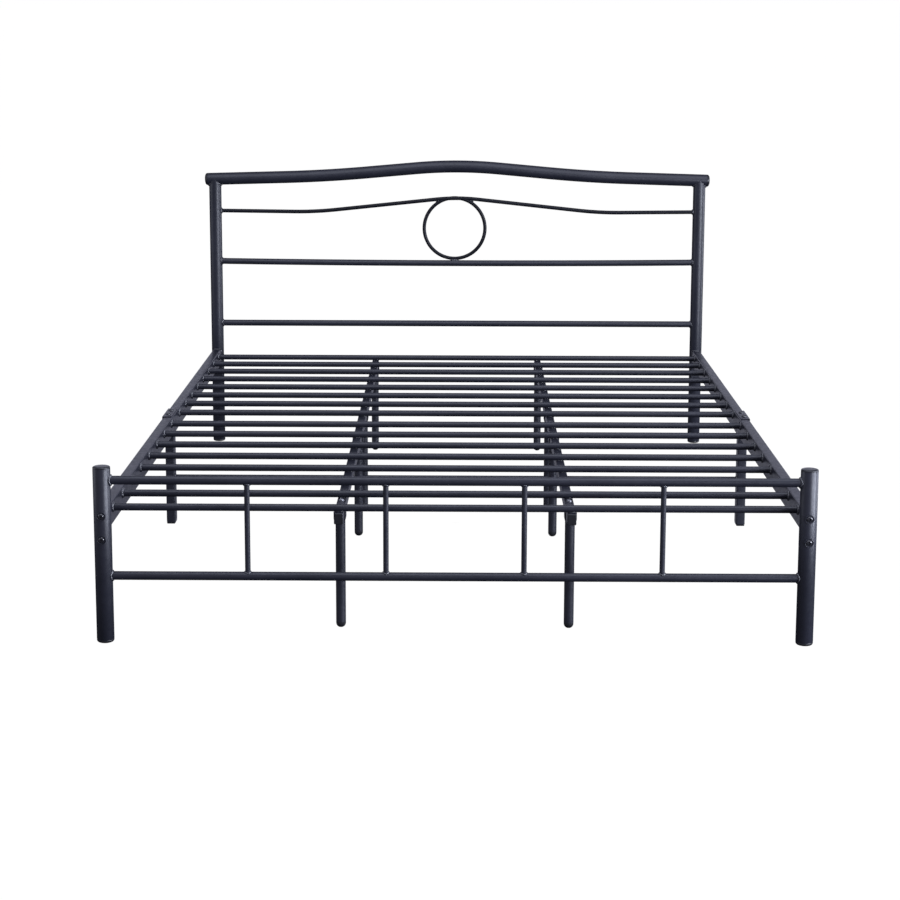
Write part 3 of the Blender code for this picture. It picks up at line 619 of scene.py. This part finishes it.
def build_spindle(welds, node, rails):
    (top_z, top_radius), (low_z, low_radius) = rails
    x0 = centre(node).x
    radius = size(node).x / 2
    bm = bmesh.new()

    def end_point(t, up):
        a = TAU * t
        across = radius * math.sin(a)
        if up:
            z = top_z - math.sqrt(top_radius ** 2 - across ** 2)
        else:
            z = low_z + math.sqrt(low_radius ** 2 - across ** 2)
        return Vector((x0 + radius * math.cos(a), FOOT_Y + across, z))

    rings = [[end_point(index / ROD_SIDES, False) for index in range(ROD_SIDES)]]
    rings.append([Vector((point.x, point.y, (top_z + low_z) / 2)) for point in rings[0]])
    rings.append([end_point(index / ROD_SIDES, True) for index in range(ROD_SIDES)])
    loft(bm, rings)
    coat_piece(f"{node}_tube", bm, [node])
    for up in (False, True):
        bead(welds, lambda t: end_point(t, up), round_upright, lambda t: SPINDLE_WELD)


# ---- deck: side rails, joiners, side legs -------------------------------------------
def build_side_rails(welds):
    middle_x = RAIL_INNER_X + RAIL_WIDTH / 2
    bottom = RAIL_TOP - RAIL_HEIGHT
    for side, sign in SIDES:
        for end, post_y, toward in (("foot", FOOT_Y, 1), ("head", HEAD_Y, -1)):
            node = f"side_rail_{side}_{end}"
            low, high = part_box(node)
            plate = sorted((post_y + toward * (POST_RADIUS + GAP),
                            post_y + toward * (POST_RADIUS + GAP + END_PLATE_THICKNESS)))
            start = plate[1] - MM if toward > 0 else plate[0] + MM
            stop = high.y if toward > 0 else low.y
            ys = sorted((start, stop))
            bm = bmesh.new()
            rounded_bar(bm, (sign * middle_x - RAIL_WIDTH / 2, ys[0], bottom),
                        (sign * middle_x + RAIL_WIDTH / 2, ys[1], RAIL_TOP), 1, RAIL_CORNER,
                        0.4 * MM)
            coat_piece(f"{node}_tube", bm, [node])
            bm = bmesh.new()
            rounded_bar(bm, (sign * POST_X - END_PLATE_HALF_WIDTH, plate[0], low.z),
                        (sign * POST_X + END_PLATE_HALF_WIDTH, plate[1], RAIL_TOP - MM), 1,
                        2.5 * MM, 0.6 * MM)
            coat_piece(f"{node}_end_plate", bm)
            rail_middle = Vector((sign * middle_x, plate[1] if toward > 0 else plate[0],
                                  bottom + RAIL_HEIGHT / 2))
            curve = outline_curve(rail_middle, RAIL_WIDTH / 2, RAIL_HEIGHT / 2, RAIL_CORNER,
                                  lambda u, v: Vector((u, 0.0, v)))
            bead(welds, curve, lambda t: curve(t) - rail_middle, lambda t: END_PLATE_WELD)


def build_joiner(side, sign):
    """The pressed steel channel that wraps the outside of a side rail across its joint."""
    node = f"side_joiner_{side}"
    low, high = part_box(node)
    thick = JOINER_SHEET
    outer = max(abs(low.x), abs(high.x))
    inner = min(abs(low.x), abs(high.x))
    web = RAIL_INNER_X + RAIL_WIDTH + GAP
    round_x = outer - thick
    bottom, top = low.z, high.z
    section = [(inner, top)]
    for step in range(7):
        a = TAU / 4 * (1 - step / 6)
        section.append((round_x + thick * math.cos(a), top - thick + thick * math.sin(a)))
    for step in range(7):
        a = -TAU / 4 * step / 6
        section.append((round_x + thick * math.cos(a), bottom + thick + thick * math.sin(a)))
    section += [(inner, bottom), (inner, bottom + thick), (web, bottom + thick),
                (web, top - thick), (inner, top - thick)]
    bm = bmesh.new()
    extrude(bm, *([(sign * x, y, z) for x, z in section] for y in (low.y, high.y)))
    piece = coat_piece(f"{node}_channel", bm, [node])
    edge = piece.modifiers.new("edge", "BEVEL")
    edge.width = 0.4 * MM
    edge.segments = 2
    bm = bmesh.new()
    middle_z = (bottom + top) / 2
    for y in (low.y + JOINER_SIDE_BOLT_INSET, high.y - JOINER_SIDE_BOLT_INSET):
        place = (Matrix.Translation((sign * outer, y, middle_z))
                 @ Matrix.Rotation(sign * math.pi / 2, 4, "Y"))
        button_bolt(bm, place, JOINER_SIDE_BOLT_RADIUS, JOINER_BOLT_RISE, JOINER_SIDE_SOCKET)
    for y in (-JOINER_TOP_BOLT_Y, JOINER_TOP_BOLT_Y):
        place = Matrix.Translation((sign * (inner + outer) / 2, (low.y + high.y) / 2 + y, top))
        button_bolt(bm, place, BOLT_HEAD_RADIUS, JOINER_BOLT_RISE, SOCKET)
    add_piece(f"{node}_bolt_heads", bm, BOLT)


def outline_curve(middle, half_wide, half_deep, corner, flat):
    """A closed curve round a rounded rectangle; flat(u, v) turns its two offsets into a vector."""
    outline = rounded_outline(half_wide, half_deep, corner)
    outline = outline + outline[:1]

    def curve(t):
        place = min(t * (len(outline) - 1), len(outline) - 1 - 1e-6)
        index = int(place)
        part = place - index
        near, far = outline[index], outline[index + 1]
        return middle + flat(near[0] * (1 - part) + far[0] * part,
                             near[1] * (1 - part) + far[1] * part)

    return curve


def build_middle_legs(welds):
    """Two rectangular legs under the side rails, with a round bar welded between them."""
    low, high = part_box("middle_leg_frame")
    half_wide, half_deep = SIDE_LEG_HALF_WIDTH, (high.y - low.y) / 2
    y = (low.y + high.y) / 2
    legs = bmesh.new()
    for side, sign in SIDES:
        x = sign * (high.x - half_wide)
        rounded_bar(legs, (x - half_wide, low.y, SIDE_LEG_GLIDE),
                    (x + half_wide, high.y, high.z), 2, SIDE_LEG_CORNER, 0.4 * MM)
        middle = Vector((x, y, high.z))
        curve = outline_curve(middle, half_wide, half_deep, SIDE_LEG_CORNER,
                              lambda u, v: Vector((u, v, 0.0)))
        bead(welds, curve, lambda t: curve(t) - middle, lambda t: SIDE_LEG_WELD)
        bm = bmesh.new()
        rounded_bar(bm, (x - half_wide + GAP, low.y + GAP, 0.0),
                    (x + half_wide - GAP, high.y - GAP, SIDE_LEG_GLIDE - 0.2 * MM), 2,
                    SIDE_LEG_CORNER, 1.6 * MM)
        add_piece(f"side_leg_{side}_glide", bm, PLASTIC)
    coat_piece("middle_leg_frame_legs", legs, ["middle_leg_frame"])
    bar = bmesh.new()
    reach = high.x - 2 * half_wide
    path = [Vector((share * reach, CROSSBAR_Z)) for share in (-1, -0.5, 0, 0.5, 1)]
    sweep(bar, path, y, CROSSBAR_RADIUS, BAR_SIDES)
    coat_piece("middle_leg_frame_crossbar", bar)
    for _, sign in SIDES:
        bead(welds, lambda t: Vector((sign * reach, y + CROSSBAR_RADIUS * math.cos(TAU * t),
                                      CROSSBAR_Z + CROSSBAR_RADIUS * math.sin(TAU * t))),
             round_level_bar, lambda t: CROSSBAR_WELD)


# ---- deck: slats --------------------------------------------------------------------
def build_slats(welds):
    for node in SLAT_NAMES:
        y = centre(node).y
        bm = bmesh.new()
        path = [Vector((x * RAIL_INNER_X, SLAT_Z)) for x in (-1, -0.5, 0, 0.5, 1)]
        sweep(bm, path, y, SLAT_RADIUS, ROD_SIDES)
        coat_piece(f"{node}_tube", bm, [node])
        for _, sign in SIDES:
            def curve(t):
                return Vector((sign * RAIL_INNER_X, y + SLAT_RADIUS * math.cos(TAU * t),
                               SLAT_Z + SLAT_RADIUS * math.sin(TAU * t)))
            bead(welds, curve, round_level_bar, lambda t: SLAT_WELD)


# ---- deck: centre rails and their legs ----------------------------------------------
def build_centre_rails(welds):
    for side, sign in SIDES:
        for end in ("foot", "head"):
            node = f"centre_rail_{side}_{end}"
            low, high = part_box(node)
            stop = min(high.y, SPLIT_Y) if end == "foot" else high.y
            bm = bmesh.new()
            rounded_bar(bm, (low.x, low.y, low.z), (high.x, stop, high.z), 1, 2.4 * MM, 0.4 * MM)
            coat_piece(f"{node}_tube", bm, [node])
            bm = bmesh.new()
            plug_y = low.y if end == "foot" else high.y
            reach = -1.8 * MM if end == "foot" else 1.8 * MM
            ys = sorted((plug_y - reach, plug_y + reach))
            rounded_bar(bm, (low.x + 0.6 * MM, ys[0], low.z + 0.6 * MM),
                        (high.x - 0.6 * MM, ys[1], high.z - 0.6 * MM), 1, 2.2 * MM, 0.9 * MM)
            add_piece(f"{node}_plug", bm, PLASTIC)
        x = abs(centre(f"centre_rail_{side}_head").x)
        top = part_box(f"centre_rail_{side}_head")[1].z
        half = size(f"centre_rail_{side}_head").x / 2
        for node in SLAT_NAMES:
            y = centre(node).y
            for lateral in (-1, 1):
                def tack(t):
                    return Vector((sign * x + (2 * t - 1) * 0.8 * half,
                                   y + lateral * 3.2 * MM, top + 1.0 * MM))
                bead(welds, tack, lambda t: Vector((0, 0, 1)), lambda t: TACK_WELD,
                     closed=False, sides=6)


def build_centre_leg(side, sign, number):
    node = f"centre_leg_{side}_{number}"
    low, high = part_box(node)
    rail_low, rail_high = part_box(f"centre_rail_{side}_head")
    x = sign * abs((rail_low.x + rail_high.x) / 2)
    y = (low.y + high.y) / 2
    radius = CENTRE_LEG_RADIUS
    bm = bmesh.new()
    turn(bm, [(radius - MM, CENTRE_LEG_END), (radius, CENTRE_LEG_END + 0.2 * MM),
              (radius, SADDLE_BOTTOM + MM)], Matrix.Translation((x, y, 0.0)), BOLT_SIDES)
    half_rail = (rail_high.x - rail_low.x) / 2 + GAP
    inner = -(half_rail + SADDLE_INNER_SHEET)
    outer = half_rail + SADDLE_OUTER_SHEET
    top = high.z - SADDLE_BOTTOM
    channel = rail_low.z - GAP - SADDLE_BOTTOM
    arcs = []
    for corner_x, direction in ((outer, -1), (inner, 1)):
        arcs.append([(corner_x + direction * SADDLE_CORNER * (1 - math.cos(TAU / 4 * step / 5)),
                      SADDLE_CORNER * (1 - math.sin(TAU / 4 * step / 5))) for step in range(6)])
    section = [(outer, top - 0.8 * MM)] + arcs[0] + arcs[1][::-1]
    section += [(inner, top - 0.8 * MM), (inner + 0.5 * MM, top), (-half_rail, top),
                (-half_rail, channel), (half_rail, channel), (half_rail, top),
                (outer - 0.8 * MM, top)]
    extrude(bm, *([(x + sign * u, y + along, SADDLE_BOTTOM + v) for u, v in section]
                  for along in (-SADDLE_HALF_LENGTH, SADDLE_HALF_LENGTH)))
    coat_piece(f"{node}_tube_and_saddle", bm, [node])
    bm = bmesh.new()
    profile = [(2.6, 0.0), (4.8, 0.55), (6.9, 1.7), (8.7, 3.4), (10.0, 5.6), (10.8, 8.2),
               (11.0, 11.0), (11.0, 13.6), (10.7, 13.95), (9.9, 14.0)]
    turn(bm, in_mm(profile), Matrix.Translation((x, y, 0.0)), BOLT_SIDES)
    add_piece(f"{node}_rounded_end", bm, PLASTIC)
    bm = bmesh.new()
    bolt_y = y + (RAIL_BOLT_Y if number % 2 else -RAIL_BOLT_Y)
    place = Matrix.Translation((x, bolt_y, rail_high.z))
    turn(bm, in_mm([(8.4, -0.5), (8.4, 0.7), (8.1, 1.0), (3.0, 1.0)]), place, BOLT_SIDES)
    button_bolt(bm, place @ Matrix.Translation((0.0, 0.0, MM)), BOLT_HEAD_RADIUS,
                RAIL_BOLT_RISE, SOCKET)
    add_piece(f"{node}_bolt_head", bm, RAIL_BOLT)


# ---- the bed ------------------------------------------------------------------------
def add_welds(name, bm):
    add_piece(name, bm, WELD_COAT, sharp=80.0)


head_welds = bmesh.new()
build_head_top_rail()
build_head_posts(head_welds)
build_head_bars(head_welds)
build_scroll(head_welds)
build_ring(head_welds)
add_welds("headboard_welds", head_welds)
foot_welds = bmesh.new()
build_footboard(foot_welds)
add_welds("footboard_welds", foot_welds)
build_glides()
build_post_bolts()
deck_welds = bmesh.new()
build_side_rails(deck_welds)
build_middle_legs(deck_welds)
for side_name, side_sign in SIDES:
    build_joiner(side_name, side_sign)
    for leg_number in range(1, 5):
        build_centre_leg(side_name, side_sign, leg_number)
add_welds("side_rail_welds", deck_welds)
slat_welds = bmesh.new()
build_slats(slat_welds)
build_centre_rails(slat_welds)
add_welds("slat_welds", slat_welds)


# ---- studio -------------------------------------------------------------------------
SOFTBOX_COLOR = (0.80, 0.85, 1.0)
SOFTBOXES = (  # name, place, aim, width, height, power
    ("overhead_softbox", (0.2, -1.0, 3.4), (0.0, 0.1, 0.3), 3.6, 3.4, 72.0),
    ("right_rear_softbox", (6.5, 1.9, 1.2), (0.0, 1.0, 0.4), 2.9, 3.2, 205.0),
    ("right_front_softbox", (3.6, -2.2, 0.8), (0.0, -1.0, 0.2), 1.5, 1.8, 140.0),
    ("left_softbox", (-4.0, -0.3, 1.2), (0.0, 0.0, 0.4), 3.0, 2.0, 25.0),
    ("front_softbox", (2.8, -3.8, 1.0), (0.8, -1.0, 0.2), 1.5, 1.6, 95.0))
SKY_TINT = (0.95, 0.97, 1.2)
SKY_STRENGTH = 2.5
HEIGHT_STOPS = ((-1.0, 0.03), (-0.35, 0.12), (-0.15, 0.21), (0.1, 0.28), (1.0, 0.40))
DEPTH_STOPS = ((-1.0, 0.4), (0.25, 0.4), (0.5, 0.09), (0.88, 0.09), (0.95, 1.0))
CAMERA_PLACE = (0.0054, -5.1998, 1.3448)
CAMERA_DEGREES = (9.543, -0.241, 0.177)  # pitch down, yaw to the right, roll
CAMERA_LENS = 79.59
CAMERA_SENSOR = 36.0
CAMERA_SHIFT = -0.1111


def build_studio():
    """A white floor that curves up into a round wall; only the camera sees it."""
    bm = bmesh.new()
    profile = [(0.01, 0.0), (3.0, 0.0), (8.0, 0.0), (10.0, 0.25), (11.3, 1.0), (12.0, 2.4),
               (12.2, 9.0)]
    rows = [[bm.verts.new((radius * math.cos(a), radius * math.sin(a), height))
             for a in angles(STUDIO_SIDES)] for radius, height in profile]
    for near, far in zip(rows, rows[1:]):
        for index in range(STUDIO_SIDES):
            after = (index + 1) % STUDIO_SIDES
            bm.faces.new((near[index], near[after], far[after], far[index]))
    bm.faces.new(rows[0])
    mesh = bpy.data.meshes.new("studio_floor")
    bm.to_mesh(mesh)
    bm.free()
    mesh.shade_smooth()
    paper = bpy.data.materials.new("studio_paper")
    paper.use_nodes = True
    shader = paper.node_tree.nodes["Principled BSDF"]
    shader.inputs["Base Color"].default_value = (0.03, 0.03, 0.03, 1.0)
    shader.inputs["Roughness"].default_value = 0.9
    shader.inputs["Specular IOR Level"].default_value = 0.1
    shader.inputs["Emission Color"].default_value = (1.0, 1.0, 1.0, 1.0)
    shader.inputs["Emission Strength"].default_value = 0.99
    mesh.materials.append(paper)
    floor = bpy.data.objects.new("studio_floor", mesh)
    bpy.context.scene.collection.objects.link(floor)
    floor.visible_diffuse = False
    floor.visible_glossy = False
    floor.visible_shadow = False


def add_softbox(name, place, aim, wide, high, power):
    light = bpy.data.lights.new(name, "AREA")
    light.shape = "RECTANGLE"
    light.size = wide
    light.size_y = high
    light.energy = power
    light.color = SOFTBOX_COLOR
    softbox = bpy.data.objects.new(name, light)
    softbox.location = place
    softbox.rotation_euler = (Vector(aim) - Vector(place)).to_track_quat("-Z", "Y").to_euler()
    softbox.visible_camera = False
    bpy.context.scene.collection.objects.link(softbox)


def add_world_ramp(tree, source, stops):
    """A colour ramp over a direction's share along one axis, which runs from -1 to 1."""
    shift = add_range(tree, source, -1.0, 1.0, 0.0, 1.0)
    ramp = tree.nodes.new("ShaderNodeValToRGB")
    elements = ramp.color_ramp.elements
    while len(elements) < len(stops):
        elements.new(0.5)
    for element, (share, color) in zip(elements, stops):
        element.position = (share + 1.0) / 2
        element.color = (*color, 1.0)
    tree.links.new(shift.outputs["Result"], ramp.inputs["Fac"])
    return ramp.outputs["Color"]


def build_world():
    """Soft blue-grey light from above, with a pale wall and dark flags behind the headboard."""
    world = bpy.data.worlds.new("studio_world")
    bpy.context.scene.world = world
    world.use_nodes = True
    tree = world.node_tree
    sky = tree.nodes["Background"]
    coordinates = tree.nodes.new("ShaderNodeTexCoord")
    split = tree.nodes.new("ShaderNodeSeparateXYZ")
    tree.links.new(coordinates.outputs["Generated"], split.inputs[0])
    height = add_world_ramp(tree, split.outputs["Z"], [
        (share, [level * tint for tint in SKY_TINT]) for share, level in HEIGHT_STOPS])
    depth = add_world_ramp(tree, split.outputs["Y"], [
        (share, [level] * 3) for share, level in DEPTH_STOPS])
    mix = tree.nodes.new("ShaderNodeVectorMath")
    mix.operation = "MULTIPLY"
    tree.links.new(height, mix.inputs[0])
    tree.links.new(depth, mix.inputs[1])
    tree.links.new(mix.outputs["Vector"], sky.inputs["Color"])
    sky.inputs["Strength"].default_value = SKY_STRENGTH


def build_camera():
    """The photograph's view: four metres from the foot end, half a metre over the headboard."""
    pitch, yaw, roll = (math.radians(angle) for angle in CAMERA_DEGREES)
    forward = Vector((math.sin(yaw), math.cos(yaw), 0.0))
    right = Vector((math.cos(yaw), -math.sin(yaw), 0.0))
    up = Vector((0.0, 0.0, 1.0))
    aim = forward * math.cos(pitch) - up * math.sin(pitch)
    top = up * math.cos(pitch) + forward * math.sin(pitch)
    side = right * math.cos(roll) + top * math.sin(roll)
    over = top * math.cos(roll) - right * math.sin(roll)
    data = bpy.data.cameras.new("photo_camera")
    data.lens = CAMERA_LENS
    data.sensor_width = CAMERA_SENSOR
    data.shift_y = CAMERA_SHIFT
    data.dof.use_dof = False
    camera = bpy.data.objects.new("photo_camera", data)
    camera.matrix_world = Matrix.LocRotScale(
        Vector(CAMERA_PLACE), Matrix((side, over, -aim)).transposed().to_quaternion(), None)
    bpy.context.scene.collection.objects.link(camera)
    bpy.context.scene.camera = camera


build_studio()
build_world()
for softbox_values in SOFTBOXES:
    add_softbox(*softbox_values)
build_camera()
bpy.context.scene.view_settings.view_transform = "Standard"
